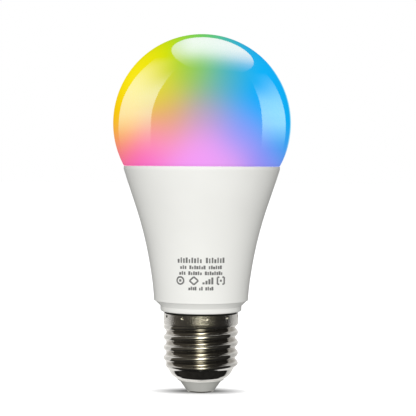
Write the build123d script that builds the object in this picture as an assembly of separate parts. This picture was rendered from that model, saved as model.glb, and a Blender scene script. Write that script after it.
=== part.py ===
from build123d import *
import math
import os

# Colour-changing wireless LED bulb with a screw cap, all dimensions in millimetres.
# Row frame: +Z up along the bulb's axis, origin at the centre of the bottom contact's flat face.
# The printed side of the body faces -Y. Every piece is a separate solid in its own file.

# ---------------------------------------------------------------- driving dimensions
# diffuser dome: a sphere segment on a stepped skirt that snaps into the body's rim
DOME_R = 31.0                 # outer radius of the sphere
DOME_Z = 93.8                 # height of the sphere's centre
DOME_WALL = 1.1
SEAM_Z = 78.9                 # the dome's shoulder rests on the body's rim here
SKIRT_R = 26.15
SKIRT_IN_R = 25.0
SKIRT_BOTTOM_Z = 75.6
BEAD_R = 26.42                # snap bead round the skirt
BEAD_Z = 77.0

# plastic body: flared sleeve, chamfer, lip ring and a neck that goes into the screw shell
RIM_R = 27.25
LIP_R = 14.2
LIP_BOTTOM_Z = 28.3
LIP_TOP_Z = 30.25
WALL = 1.3
NECK_R = 11.6
NECK_IN_R = 10.4
NECK_BOTTOM_Z = 9.7
SEAT_R = 12.7                 # neck's wide seat under the shell's plain collar
LEDGE_Z = 75.2                # inner step where the aluminium cup's rim ends
# outer profile of the flared sleeve, height and radius
FLARE = [
    (32.6, 16.45), (36.0, 16.75), (40.0, 17.24), (46.0, 18.20), (52.0, 19.41),
    (58.0, 20.91), (64.0, 22.71), (70.0, 24.72), (77.8, 27.22),
]

# screw shell: 27 mm lamp-cap thread, rolled from thin sheet
PITCH = 3.629                 # 7 threads per inch
CREST_R = 13.05
ROOT_R = 12.1
COLLAR_R = 13.1
SHEET = 0.3
COLLAR_TOP_Z = 27.6
COLLAR_BOTTOM_Z = 24.0
CREST_Z0 = 10.0               # height of a crest on the +X side
SHELL_HOLE_R = 7.75
SHELL_RIM_Z = 4.35
DIMPLES = 10                  # crimp punches round the collar
DIMPLE_Z = 26.55
DIMPLE_PHASE = -82.5          # degrees from +X, the punch nearest the front

# cap insulator and centre contact
CONE_TIP_R = 4.8
CONTACT_R = 4.7
CONTACT_T = 0.45

# aluminium cup, thermal pad and LED board
CUP_T = 0.9
GAP = 0.05
PLATE_TOP_Z = 73.8
PLATE_T = 1.2
PAD_T = 0.3
BOARD_T = 1.2
BOARD_R = 23.9
BOARD_BOTTOM_Z = PLATE_TOP_Z + PAD_T
BOARD_TOP_Z = BOARD_BOTTOM_Z + BOARD_T
SCREW_R = 21.2                # pitch radius of the three board screws

# driver board, upright in the XZ plane
PCB_T = 1.2
PCB_BOTTOM_Z = 15.0
PCB_TOP_Z = 70.8
PCB_NECK_W = 19.3
PCB_TOP_W = 25.0

# wireless board, upright through the slot
RADIO_W = 15.0
RADIO_T = 0.8
RADIO_Y = -4.0
RADIO_BOTTOM_Z = 62.2
RADIO_TOP_Z = 87.0

os.makedirs("parts", exist_ok=True)
LISTED = []


def keep(shape, name):
    """Writes one node."""
    solids = shape.solids()
    shape = solids[0] if len(solids) == 1 else Compound(children=list(solids))
    export_step(shape, f"parts/{name}.step")
    LISTED.append((name, len(solids), round(sum(s.volume for s in solids), 2)))


def turned(*edges):
    """A solid of revolution about Z from edges drawn as (radius, height)."""
    return revolve(Plane.XZ * make_face(list(edges)), axis=Axis.Z)


def ring(points):
    """A solid of revolution from a closed polygon of (radius, height) points."""
    return turned(*Polyline(*points, close=True).edges())


def slab(x0, x1, y0, y1, z0, z1):
    return Pos((x0 + x1) / 2, (y0 + y1) / 2, (z0 + z1) / 2) * Box(x1 - x0, y1 - y0, z1 - z0)


def rod(x, y, z0, z1, r):
    return Pos(x, y, (z0 + z1) / 2) * Cylinder(r, z1 - z0)


def offset_flare(depth, z0, z1, count=8):
    """A smooth line set in from the sleeve's outer face by depth, between two heights."""
    outer = Spline(*[(r, z) for z, r in FLARE])
    points = []
    for i in range(count):
        z = z0 + (z1 - z0) * i / (count - 1)
        low, high = 0.0, 1.0
        for _ in range(40):
            mid = (low + high) / 2
            if (outer @ mid).Y < z:
                low = mid
            else:
                high = mid
        points.append(((outer @ low).X - depth, z))
    return points


# ---------------------------------------------------------------- diffuser dome
def sphere_r(radius, z):
    return math.sqrt(radius ** 2 - (z - DOME_Z) ** 2)


inner_r = DOME_R - DOME_WALL
seam_r = sphere_r(DOME_R, SEAM_Z)
step_z = 82.0
step_r = sphere_r(inner_r, step_z)
mid_out = (DOME_R * math.cos(0.5), DOME_Z + DOME_R * math.sin(0.5))
mid_in = (inner_r * math.cos(0.5), DOME_Z + inner_r * math.sin(0.5))
dome = turned(
    ThreePointArc((0, DOME_Z + DOME_R), mid_out, (seam_r, SEAM_Z)),
    Line((seam_r, SEAM_Z), (SKIRT_R, SEAM_Z)),
    Line((SKIRT_R, SEAM_Z), (SKIRT_R, BEAD_Z + 0.45)),
    ThreePointArc((SKIRT_R, BEAD_Z + 0.45), (BEAD_R, BEAD_Z), (SKIRT_R, BEAD_Z - 0.45)),
    Line((SKIRT_R, BEAD_Z - 0.45), (SKIRT_R, SKIRT_BOTTOM_Z + 0.3)),
    Line((SKIRT_R, SKIRT_BOTTOM_Z + 0.3), (SKIRT_R - 0.3, SKIRT_BOTTOM_Z)),
    Line((SKIRT_R - 0.3, SKIRT_BOTTOM_Z), (SKIRT_IN_R, SKIRT_BOTTOM_Z)),
    Line((SKIRT_IN_R, SKIRT_BOTTOM_Z), (SKIRT_IN_R, 79.4)),
    Line((SKIRT_IN_R, 79.4), (step_r, step_z)),
    ThreePointArc((step_r, step_z), mid_in, (0, DOME_Z + inner_r)),
    Line((0, DOME_Z + inner_r), (0, DOME_Z + DOME_R)),
)
keep(dome, "diffuser_dome")

# ---------------------------------------------------------------- plastic body
inner_line = offset_flare(WALL, 34.4, LEDGE_Z)
rim_in_r = SKIRT_R + 0.1
body = turned(
    # neck, outside, from the bottom up
    Line((NECK_IN_R, NECK_BOTTOM_Z), (NECK_R - 0.4, NECK_BOTTOM_Z)),
    Line((NECK_R - 0.4, NECK_BOTTOM_Z), (NECK_R, NECK_BOTTOM_Z + 0.6)),
    Line((NECK_R, NECK_BOTTOM_Z + 0.6), (NECK_R, 23.1)),
    Line((NECK_R, 23.1), (SEAT_R, 24.3)),
    Line((SEAT_R, 24.3), (SEAT_R, LIP_BOTTOM_Z)),
    # lip ring over the shell's edge
    Line((SEAT_R, LIP_BOTTOM_Z), (LIP_R - 0.6, LIP_BOTTOM_Z)),
    ThreePointArc((LIP_R - 0.6, LIP_BOTTOM_Z), (LIP_R - 0.176, LIP_BOTTOM_Z + 0.176), (LIP_R, LIP_BOTTOM_Z + 0.6)),
    Line((LIP_R, LIP_BOTTOM_Z + 0.6), (LIP_R, LIP_TOP_Z)),
    # chamfer and rounded corner up to the sleeve
    Line((LIP_R, LIP_TOP_Z), (16.12, 32.05)),
    ThreePointArc((16.12, 32.05), (16.36, 32.3), FLARE[0][::-1]),
    Spline(*[(r, z) for z, r in FLARE]),
    ThreePointArc(FLARE[-1][::-1], (RIM_R + 0.01, 78.2), (RIM_R, 78.6)),
    Line((RIM_R, 78.6), (RIM_R - 0.15, SEAM_Z)),
    Line((RIM_R - 0.15, SEAM_Z), (rim_in_r, SEAM_Z)),
    # inside of the rim with the groove for the snap bead
    Line((rim_in_r, SEAM_Z), (rim_in_r, BEAD_Z + 0.62)),
    ThreePointArc((rim_in_r, BEAD_Z + 0.62), (BEAD_R + 0.1, BEAD_Z), (rim_in_r, BEAD_Z - 0.62)),
    Line((rim_in_r, BEAD_Z - 0.62), (rim_in_r, LEDGE_Z)),
    Line((rim_in_r, LEDGE_Z), inner_line[-1]),
    Spline(*reversed(inner_line)),
    Line(inner_line[0], (13.2, 33.4)),
    Line((13.2, 33.4), (NECK_IN_R, 29.4)),
    Line((NECK_IN_R, 29.4), (NECK_IN_R, NECK_BOTTOM_Z)),
)
# two guide rails in the neck that hold the driver board's edges
for side in (1, -1):
    rail = slab(8.75, 10.7, -1.9, 1.9, 12.5, 29.0) - slab(8.0, 9.85, -0.7, 0.7, 12.0, 29.5)
    if side < 0:
        rail = mirror(rail, about=Plane.YZ)
    body = body + rail
# way out for the stripped return wire, and its groove up the neck's outside
body = body - slab(9.6, 12.6, 3.1, 4.7, 9.0, 12.0)
body = body - Pos(11.02, 3.9, 13.5) * Box(1.5, 1.3, 9.0)
# recesses behind the crimp punches
for i in range(DIMPLES):
    a = DIMPLE_PHASE + 360 / DIMPLES * i
    body = body - Rot(0, 0, a) * (Pos(SEAT_R, 0, DIMPLE_Z) * Rot(0, 90, 0) * Cylinder(0.9, 0.9))
keep(body, "body_sleeve")

# ---------------------------------------------------------------- screw shell
def thread(deep, base_r, top_r, half_w, turns):
    """A helical ridge: a flat-sided root reaching in to deep, an arc crest from base_r to top_r."""
    z0 = CREST_Z0 - PITCH
    path = Pos(0, 0, z0) * Helix(pitch=PITCH, height=PITCH * turns, radius=base_r)
    section = make_face(
        [
            Line((deep, z0 - half_w), (base_r, z0 - half_w)),
            ThreePointArc((base_r, z0 - half_w), (top_r, z0), (base_r, z0 + half_w)),
            Line((base_r, z0 + half_w), (deep, z0 + half_w)),
            Line((deep, z0 + half_w), (deep, z0 - half_w)),
        ]
    )
    return sweep(Plane.XZ * section, path=path, is_frenet=True)


def sheet_side(root, crest, deep, half_w, hole_edges, bowl_mid, bowl_top, cone_r, cut_z, collar_edges):
    """One side of the sheet as a full solid: threaded core, trimmed to the bowl, joined to the collar."""
    core = ring([(0, 2), (root, 2), (root, 27), (0, 27)]) + thread(deep, root + 0.05, crest, half_w, 5.0)
    start = hole_edges[-1] @ 1
    trim = turned(
        *hole_edges,
        ThreePointArc((start.X, start.Y), bowl_mid, (root + 0.02, bowl_top)),
        Line((root + 0.02, bowl_top), (cone_r, bowl_top + 1.0)),
        Line((cone_r, bowl_top + 1.0), (cone_r, cut_z)),
        Line((cone_r, cut_z), (0, cut_z)),
        Line((0, cut_z), (0, (hole_edges[0] @ 0).Y)),
    )
    return (core.solid() & trim).solid() + turned(*collar_edges)


in_r = ROOT_R - SHEET
collar_in = COLLAR_R - SHEET
shell_out = sheet_side(
    ROOT_R, CREST_R, 11.0, 1.42,
    [Line((0, SHELL_RIM_Z), (SHELL_HOLE_R, SHELL_RIM_Z)), Line((SHELL_HOLE_R, SHELL_RIM_Z), (8.15, 4.5))],
    (10.72, 6.55), 9.25, 13.3, 23.9,
    Polyline(
        (0, COLLAR_TOP_Z), (COLLAR_R, COLLAR_TOP_Z), (COLLAR_R, COLLAR_BOTTOM_Z), (12.8, 23.4), (12.0, 22.6), (0, 22.6),
        close=True,
    ).edges(),
)
shell_in = sheet_side(
    in_r, CREST_R - SHEET, 10.7, 1.2,
    [
        Line((0, SHELL_RIM_Z - 1), (SHELL_HOLE_R, SHELL_RIM_Z - 1)),
        Line((SHELL_HOLE_R, SHELL_RIM_Z - 1), (SHELL_HOLE_R, SHELL_RIM_Z + 0.34)),
        Line((SHELL_HOLE_R, SHELL_RIM_Z + 0.34), (8.0, 4.78)),
    ],
    (10.5, 6.76), 9.4, 13.1, 23.6,
    Polyline(
        (0, 30), (collar_in, 30), (collar_in, COLLAR_BOTTOM_Z + 0.1), (12.5, 23.6), (11.7, 22.8), (0, 22.8), close=True
    ).edges(),
)
shell = shell_out.solid() - shell_in.solid()
for i in range(DIMPLES):
    turn = Rot(0, 0, DIMPLE_PHASE + 360 / DIMPLES * i)
    bump = turn * Pos(COLLAR_R - SHEET + 0.1, 0, DIMPLE_Z) * Rot(0, -90, 0) * Cone(0.8, 0.42, 0.4, align=(Align.CENTER, Align.CENTER, Align.MIN))
    punch = turn * Pos(COLLAR_R + 0.03, 0, DIMPLE_Z) * Rot(0, -90, 0) * Cone(0.66, 0.3, 0.36, align=(Align.CENTER, Align.CENTER, Align.MIN))
    shell = shell + bump - punch
keep(shell, "screw_shell")

# ---------------------------------------------------------------- cap insulator and contact
insulator = turned(
    Line((1.65, CONTACT_T), (CONE_TIP_R - 0.15, CONTACT_T)),
    ThreePointArc((CONE_TIP_R - 0.15, CONTACT_T), (CONE_TIP_R + 0.02, CONTACT_T + 0.06), (CONE_TIP_R + 0.12, CONTACT_T + 0.2)),
    Line((CONE_TIP_R + 0.12, CONTACT_T + 0.2), (SHELL_HOLE_R - 0.03, 4.3)),
    Line((SHELL_HOLE_R - 0.03, 4.3), (SHELL_HOLE_R - 0.03, 4.85)),
    Line((SHELL_HOLE_R - 0.03, 4.85), (9.72, 6.4)),
    Line((9.72, 6.4), (9.9, 6.9)),
    Line((9.9, 6.9), (9.9, 7.5)),
    Line((9.9, 7.5), (8.7, 7.5)),
    Line((8.7, 7.5), (7.4, 6.3)),
    Line((7.4, 6.3), (3.2, 6.3)),
    Line((3.2, 6.3), (3.2, 7.6)),
    Line((3.2, 7.6), (1.65, 7.6)),
    Line((1.65, 7.6), (1.65, CONTACT_T)),
)
keep(insulator, "cap_insulator")

contact = turned(
    Line((0, 0), (CONTACT_R - 0.35, 0)),
    ThreePointArc((CONTACT_R - 0.35, 0), (CONTACT_R - 0.09, 0.11), (CONTACT_R, CONTACT_T)),
    Line((CONTACT_R, CONTACT_T), (1.6, CONTACT_T)),
    Line((1.6, CONTACT_T), (1.6, 7.7)),
    Line((1.6, 7.7), (1.85, 8.3)),
    Line((1.85, 8.3), (1.45, 8.3)),
    Line((1.45, 8.3), (1.0, 7.6)),
    Line((1.0, 7.6), (1.0, 1.0)),
    Line((1.0, 1.0), (0, 0.7)),
    Line((0, 0.7), (0, 0)),
)
keep(contact, "centre_contact")

# ---------------------------------------------------------------- aluminium cup
cup_out = offset_flare(WALL + GAP, 34.7, LEDGE_Z)
cup_in = offset_flare(WALL + GAP + CUP_T, 34.7, PLATE_TOP_Z - PLATE_T)
rim_in = cup_out[-1][0] - CUP_T
cup = turned(
    Spline(*cup_out),
    Line(cup_out[-1], (rim_in, LEDGE_Z)),
    Line((rim_in, LEDGE_Z), (rim_in, PLATE_TOP_Z)),
    Line((rim_in, PLATE_TOP_Z), (0, PLATE_TOP_Z)),
    Line((0, PLATE_TOP_Z), (0, PLATE_TOP_Z - PLATE_T)),
    Line((0, PLATE_TOP_Z - PLATE_T), cup_in[-1]),
    Spline(*reversed(cup_in)),
    Line(cup_in[0], cup_out[0]),
)
radio_slot = slab(-8.2, 8.2, RADIO_Y - 0.9, RADIO_Y + 0.9, 70, 80)
pin_slot = slab(-7.6, 7.6, 1.9, 4.5, 70, 80)
screw_at = [(SCREW_R * math.cos(math.radians(a)), SCREW_R * math.sin(math.radians(a))) for a in (90, 210, 330)]
cup = cup - radio_slot - pin_slot
for x, y in screw_at:
    boss = rod(x, y, PLATE_TOP_Z - PLATE_T - 1.3, PLATE_TOP_Z - PLATE_T + 0.2, 1.9)
    cup = cup + boss - rod(x, y, 68, 76, 1.3)
keep(cup, "heat_sink_cup")

# ---------------------------------------------------------------- thermal pad and LED board
pad = rod(0, 0, PLATE_TOP_Z, BOARD_BOTTOM_Z, 22.9) - radio_slot - pin_slot
board = rod(0, 0, BOARD_BOTTOM_Z, BOARD_TOP_Z, BOARD_R) - radio_slot
for x, y in screw_at:
    pad = pad - rod(x, y, 70, 80, 1.75)
    board = board - rod(x, y, 70, 80, 1.5)
pins_x = [-5.08, -2.54, 0.0, 2.54, 5.08]
PIN_Y = 3.2
for x in pins_x:
    board = board - rod(x, PIN_Y, 70, 80, 0.55)
# two small notches in the board's edge for turning it in the assembly jig
for a in (0, 180):
    board = board - Rot(0, 0, a) * rod(BOARD_R + 0.3, 0, 70, 80, 1.1)
keep(pad, "thermal_pad")
keep(board, "led_board")

# packages: white frame with a recess, and the resin that fills the recess
LED_T = 0.7
frame = Box(3.5, 2.8, LED_T, align=(Align.CENTER, Align.CENTER, Align.MIN))
frame = chamfer(frame.edges().filter_by(Axis.Z).sort_by(Axis.X)[-1:], 0.5)
recess = Pos(0, 0, LED_T - 0.3) * loft(
    [Plane.XY * Rectangle(2.4, 1.8), Plane.XY.offset(0.3) * Rectangle(2.8, 2.2)]
)
resin = Pos(0, 0, LED_T - 0.29) * loft(
    [Plane.XY * Rectangle(2.36, 1.76), Plane.XY.offset(0.26) * Rectangle(2.7, 2.1)]
)
frame = frame - recess


def placed(shape, radius, angle):
    a = math.radians(angle)
    return Pos(radius * math.cos(a), radius * math.sin(a), BOARD_TOP_Z) * Rot(0, 0, angle + 90) * shape


frames, emitters = [], {"warm": [], "cool": [], "red": [], "green": [], "blue": []}
for i in range(18):
    angle = 10 + 20 * i
    frames.append(placed(frame, 17.4, angle))
    emitters["warm" if i % 2 else "cool"].append(placed(resin, 17.4, angle))
for i in range(12):
    angle = 15 + 30 * i
    frames.append(placed(frame, 11.7, angle))
    emitters[("red", "green", "blue")[i % 3]].append(placed(resin, 11.7, angle))
keep(Compound(children=frames), "led_frames")
for colour, shapes in emitters.items():
    keep(Compound(children=shapes), f"{colour}_leds")

# ---------------------------------------------------------------- board screws
screws = []
for x, y in screw_at:
    s = rod(x, y, BOARD_TOP_Z - 4.4, BOARD_TOP_Z + 0.1, 1.2)
    head = Pos(x, y, BOARD_TOP_Z) * (
        Cylinder(2.1, 0.7, align=(Align.CENTER, Align.CENTER, Align.MIN))
        + Pos(0, 0, 0.7) * Cone(2.1, 1.5, 0.5, align=(Align.CENTER, Align.CENTER, Align.MIN))
    )
    cross = Pos(x, y, BOARD_TOP_Z + 0.85) * (Box(2.2, 0.5, 1.0) + Box(0.5, 2.2, 1.0))
    tip = Pos(x, y, BOARD_TOP_Z - 5.2) * Cone(0.4, 1.2, 0.8, align=(Align.CENTER, Align.CENTER, Align.MIN))
    screws.append(s + head + tip - cross)
keep(Compound(children=screws), "board_screws")

# ---------------------------------------------------------------- dome adhesive
glue = ring(
    [
        (24.32, LEDGE_Z), (SKIRT_R, LEDGE_Z), (SKIRT_R, SKIRT_BOTTOM_Z), (SKIRT_IN_R - 0.02, SKIRT_BOTTOM_Z),
        (SKIRT_IN_R - 0.02, 76.3), (24.75, 76.45), (24.45, 76.1), (24.32, 75.7),
    ]
)
keep(glue, "dome_adhesive")

# ---------------------------------------------------------------- insulating liner
liner_out = offset_flare(WALL + GAP + CUP_T + 0.12, 36.0, 70.0)
liner_in = offset_flare(WALL + GAP + CUP_T + 0.47, 36.0, 70.0)
liner = turned(
    Spline(*liner_out),
    Line(liner_out[-1], liner_in[-1]),
    Spline(*reversed(liner_in)),
    Line(liner_in[0], liner_out[0]),
)
keep(liner, "insulating_liner")

# ---------------------------------------------------------------- driver board
half = PCB_T / 2
outline = Polyline(
    (-PCB_NECK_W / 2, PCB_BOTTOM_Z), (PCB_NECK_W / 2, PCB_BOTTOM_Z), (PCB_NECK_W / 2, 35.0), (PCB_TOP_W / 2, 38.0),
    (PCB_TOP_W / 2, PCB_TOP_Z), (-PCB_TOP_W / 2, PCB_TOP_Z), (-PCB_TOP_W / 2, 38.0), (-PCB_NECK_W / 2, 35.0),
    close=True,
)
pcb = extrude(Plane.XZ * make_face(outline.edges()), amount=half, both=True)


def drill(shape, x, z, r=0.45):
    return shape - Pos(x, 0, z) * Rot(90, 0, 0) * Cylinder(r, 4)


for x, z in [(-7.0, 19.5), (7.0, 19.5), (-5.6, 42.4), (-3.6, 42.4), (5.2, 44.6), (7.2, 44.6)]:
    pcb = drill(pcb, x, z)
for x, z in [(-3.2, 48.05), (3.2, 48.05), (-3.2, 55.45), (3.2, 55.45)]:
    pcb = drill(pcb, x, z)
keep(pcb, "driver_board")


# ---------------------------------------------------------------- parts on the driver board
def electrolytic(x, y, z0, z1, r, leads, hole_z):
    """An upright can with a crimp groove and vent, its two leads bent into the board."""
    can = rod(x, y, z0, z1, r)
    can = fillet(can.edges().group_by(Axis.Z)[0] + can.edges().group_by(Axis.Z)[-1], 0.5)
    can = can - (Pos(x, y, z0 + 1.6) * Torus(r + 0.32, 0.6))
    vent = Pos(x, y, z1) * (Box(r * 1.1, 0.35, 0.3) + Box(0.35, r * 1.1, 0.3))
    can = can - vent
    for lx in leads:
        can = can + rod(lx, y, hole_z, z0 + 0.3, 0.3)
        can = can + Pos(lx, 0, hole_z) * Rot(90, 0, 0) * Pos(0, 0, (-y + 0.3) / 2 - 0.3) * Cylinder(0.3, abs(y) + 0.3)
        can = can + Pos(lx, y, hole_z) * Sphere(0.3)
    return can


keep(electrolytic(-4.6, -6.3, 44.3, 60.3, 5.0, (-5.6, -3.6), 42.4), "input_capacitor")
keep(electrolytic(6.2, -5.2, 46.5, 58.5, 4.0, (5.2, 7.2), 44.6), "output_capacitor")

# flyback transformer on the back of the board: two-part ferrite core, bobbin and winding
T_Z, T_Y = 51.75, 5.4
core = slab(-5.5, 5.5, T_Y - 2.6, T_Y + 2.6, T_Z - 5.6, T_Z + 5.6) - slab(-4.0, 4.0, T_Y - 3, T_Y + 3, T_Z - 4.1, T_Z + 4.1)
core = core + slab(-1.4, 1.4, T_Y - 1.4, T_Y + 1.4, T_Z - 4.4, T_Z + 4.4)
bobbin_body = slab(-1.9, 1.9, T_Y - 1.9, T_Y + 1.9, T_Z - 4.05, T_Z + 4.05)
flange_low = slab(-3.95, 3.95, T_Y - 4.2, T_Y + 4.2, T_Z - 4.05, T_Z - 3.35)
flange_high = slab(-3.95, 3.95, T_Y - 4.2, T_Y + 4.2, T_Z + 3.35, T_Z + 4.05)
bobbin = bobbin_body + flange_low + flange_high - slab(-1.45, 1.45, T_Y - 1.45, T_Y + 1.45, T_Z - 5, T_Z + 5)
coil_pins = []
for x in (-3.2, 3.2):
    for z in (T_Z - 3.7, T_Z + 3.7):
        pin = Pos(x, 0.2, z) * Rot(90, 0, 0) * Cylinder(0.35, 2.6)
        bobbin = bobbin - Pos(x, 0.2, z) * Rot(90, 0, 0) * Cylinder(0.355, 2.62)
        coil_pins.append(pin)
winding = slab(-3.75, 3.75, T_Y - 3.75, T_Y + 3.75, T_Z - 3.3, T_Z + 3.3)
winding = fillet(winding.edges().filter_by(Axis.Z), 1.2) - slab(-1.95, 1.95, T_Y - 1.95, T_Y + 1.95, T_Z - 5, T_Z + 5)
keep(core, "transformer_core")
keep(bobbin, "transformer_bobbin")
keep(winding, "transformer_winding")
keep(Compound(children=coil_pins), "transformer_pins")

# drum inductor in shrink tube, low on the back of the board
inductor = rod(0, 5.3, 36.2, 44.2, 4.0)
inductor = fillet(inductor.edges().group_by(Axis.Z)[0] + inductor.edges().group_by(Axis.Z)[-1], 0.6)
inductor = inductor - rod(0, 5.3, 43.6, 45, 2.4) - rod(0, 5.3, 35, 36.8, 2.4)
keep(inductor, "filter_inductor")

# film capacitor in the neck
film = slab(-5.0, 5.0, 1.0, 5.6, 16.6, 25.6)
film = fillet(film.edges(), 0.5)
for x in (-3.75, 3.75):
    film = film + slab(x - 0.25, x + 0.25, half, 1.1, 20.6, 21.6)
keep(film, "film_capacitor")

# bridge rectifier, power chip and dimmer chip, all flat packages with gull-wing legs
def flat_pack(x, z, w, h, t, side, legs, pitch, leg_w=0.4):
    """A moulded package on the board's front (side -1) or back (side 1), with legs above and below."""
    base = half + 0.1
    y0, y1 = sorted((side * base, side * (base + t)))
    pack = slab(x - w / 2, x + w / 2, y0, y1, z - h / 2, z + h / 2)
    face = pack.faces().sort_by(Axis.Y)[0 if side < 0 else -1]
    pack = chamfer(face.edges(), 0.2)
    first = x - pitch * (legs - 1) / 2
    for i in range(legs):
        lx = first + pitch * i
        for up in (1, -1):
            z_edge = z + up * h / 2
            arm = sorted((z_edge - up * 0.2, z_edge + up * 0.55))
            pack = pack + slab(lx - leg_w / 2, lx + leg_w / 2, *sorted((side * (base + 0.55), side * (base + 0.8))), *arm)
            drop = sorted((z_edge + up * 0.35, z_edge + up * 0.55))
            pack = pack + slab(lx - leg_w / 2, lx + leg_w / 2, *sorted((side * half, side * (base + 0.8))), *drop)
            foot = sorted((z_edge + up * 0.35, z_edge + up * 1.0))
            pack = pack + slab(lx - leg_w / 2, lx + leg_w / 2, *sorted((side * half, side * (half + 0.22))), *foot)
    return pack


keep(flat_pack(0, 31.0, 4.7, 3.9, 1.4, 1, 2, 2.54, 0.6), "bridge_rectifier")
keep(flat_pack(4.6, 39.6, 4.9, 3.9, 1.4, -1, 4, 1.27), "power_chip")
keep(flat_pack(-6.2, 62.0, 8.6, 3.9, 1.4, 1, 6, 1.27), "dimmer_chip")

# surge varistor and fusible resistor on the neck's front side
varistor = Pos(-4.4, -2.7, 31.3) * Rot(90, 0, 0) * Cylinder(3.4, 2.6)
varistor = fillet(varistor.edges(), 0.8)
for x in (-5.9, -2.9):
    varistor = varistor + rod(x, -2.7, 26.6, 29.2, 0.3)
    varistor = varistor + Pos(x, -1.8, 26.6) * Rot(90, 0, 0) * Cylinder(0.3, 2.4) + Pos(x, -2.7 - 0.3, 26.6) * Sphere(0.3)
keep(varistor, "surge_varistor")
fuse = rod(4.6, -2.9, 21.2, 30.2, 1.6)
fuse = fillet(fuse.edges(), 0.6)
for z, d in ((19.4, 1), (32.0, -1)):
    near = 21.5 if d > 0 else 29.9
    fuse = fuse + rod(4.6, -2.9, *sorted((z, near)), 0.3)
    fuse = fuse + Pos(4.6, -1.75, z) * Rot(90, 0, 0) * Cylinder(0.3, 2.3) + Pos(4.6, -2.9, z) * Sphere(0.3)
keep(fuse, "fuse_resistor")

# small chip resistors and capacitors, as separate blocks with end caps as steps
chips = []
spots = [
    (-8.0, 36.8, -1), (-5.4, 37.2, -1), (-2.8, 37.2, -1), (9.8, 41.0, -1), (9.8, 44.5, -1), (-10.6, 58.0, -1),
    (-10.6, 61.0, -1), (3.0, 62.0, 1), (6.0, 62.0, 1), (9.0, 62.0, 1), (9.0, 58.6, 1), (-8.6, 47.0, 1),
    (-8.6, 50.4, 1), (8.6, 47.0, 1), (8.6, 50.4, 1), (-7.4, 37.5, 1), (7.4, 37.5, 1), (-6.0, 31.0, 1), (6.0, 31.0, 1),
]
for x, z, side in spots:
    y = sorted((side * half, side * (half + 0.5)))
    tall = sorted((side * half, side * (half + 0.58)))
    block = slab(x - 0.9, x + 0.9, *y, z - 0.6, z + 0.6)
    block = block + slab(x - 1.0, x - 0.65, *tall, z - 0.62, z + 0.62) + slab(x + 0.65, x + 1.0, *tall, z - 0.62, z + 0.62)
    chips.append(block)
keep(Compound(children=chips), "chip_components")

# ---------------------------------------------------------------- link between driver board and LED board
holder = slab(-6.35, 6.35, half, PIN_Y + 1.25, 66.2, 68.7)
holder = chamfer(holder.edges().filter_by(Axis.Z), 0.4)
pins = []
for x in pins_x:
    holder = holder - slab(x - 0.36, x + 0.36, half - 1, PIN_Y + 0.36, 67.09, 67.81) - slab(x - 0.36, x + 0.36, PIN_Y - 0.36, PIN_Y + 0.36, 67.0, 70)
    pin = slab(x - 0.3, x + 0.3, half, PIN_Y + 0.3, 67.15, 67.75) + slab(x - 0.3, x + 0.3, PIN_Y - 0.3, PIN_Y + 0.3, 67.15, 77.0)
    pins.append(pin)
keep(holder, "link_header")
keep(Compound(children=pins), "link_pins")
# solder fillets on the LED board round each pin
solder = []
for x in pins_x:
    bead = Pos(x, PIN_Y, BOARD_TOP_Z) * Cone(1.0, 0.5, 0.75, align=(Align.CENTER, Align.CENTER, Align.MIN))
    solder.append(bead - slab(x - 0.305, x + 0.305, PIN_Y - 0.305, PIN_Y + 0.305, 70, 80))
keep(Compound(children=solder), "solder_joints")

# ---------------------------------------------------------------- wireless board
ry0, ry1 = RADIO_Y - RADIO_T / 2, RADIO_Y + RADIO_T / 2
radio = slab(-RADIO_W / 2, RADIO_W / 2, ry0, ry1, RADIO_BOTTOM_Z, RADIO_TOP_Z)
radio = chamfer(radio.edges().filter_by(Axis.Y).group_by(Axis.Z)[-1], 0.8)
radio_pins_x = [-5.08, -2.54, 0.0, 2.54, 5.08]
for x in radio_pins_x:
    radio = radio - Pos(x, RADIO_Y, 64.3) * Rot(90, 0, 0) * Cylinder(0.5, 4)
keep(radio, "wireless_board")
can = slab(-5.6, 5.6, ry0 - 1.7, ry0, 66.0, 71.8)
can = fillet(can.edges().filter_by(Axis.Y), 0.5) - slab(-5.4, 5.4, ry0 - 1.5, ry0 + 1, 66.2, 71.6)
keep(can, "shield_can")
chip = slab(-2.5, 2.5, ry0 - 0.85, ry0, 66.5, 71.3)
keep(chamfer(chip.faces().sort_by(Axis.Y)[0].edges(), 0.15), "wireless_chip")
# meander aerial in copper on the board's free end
aerial = slab(-6.2, -5.6, ry0 - 0.07, ry0, 74.8, 85.6)
x = -5.6
top = True
for i in range(5):
    z = 85.0 if top else 79.6
    aerial = aerial + slab(x - 0.02, x + 1.3, ry0 - 0.07, ry0, z, z + 0.6)
    aerial = aerial + slab(x + 0.7, x + 1.3, ry0 - 0.07, ry0, 79.6, 85.6)
    x += 1.3
    top = not top
aerial = aerial + slab(x - 0.02, 6.0, ry0 - 0.07, ry0, 79.6 if not top else 85.0, (79.6 if not top else 85.0) + 0.6)
keep(aerial, "aerial_trace")
radio_header = slab(-6.35, 6.35, ry1, -half, 63.05, 65.55)
radio_header = chamfer(radio_header.edges().filter_by(Axis.Y), 0.35)
radio_pins = []
for x in radio_pins_x:
    radio_header = radio_header - slab(x - 0.31, x + 0.31, -8, 2, 63.99, 64.61)
    radio_pins.append(slab(x - 0.3, x + 0.3, ry0 - 0.6, -half, 64.0, 64.6))
keep(radio_header, "radio_header")
keep(Compound(children=radio_pins), "radio_pins")


# ---------------------------------------------------------------- lead wires
def wire(points, r, radii):
    path = FilletPolyline(*points, radius=radii)
    start = path @ 0
    plane = Plane(origin=start, z_dir=path % 0)
    return sweep(plane * Circle(r), path=path)


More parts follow.
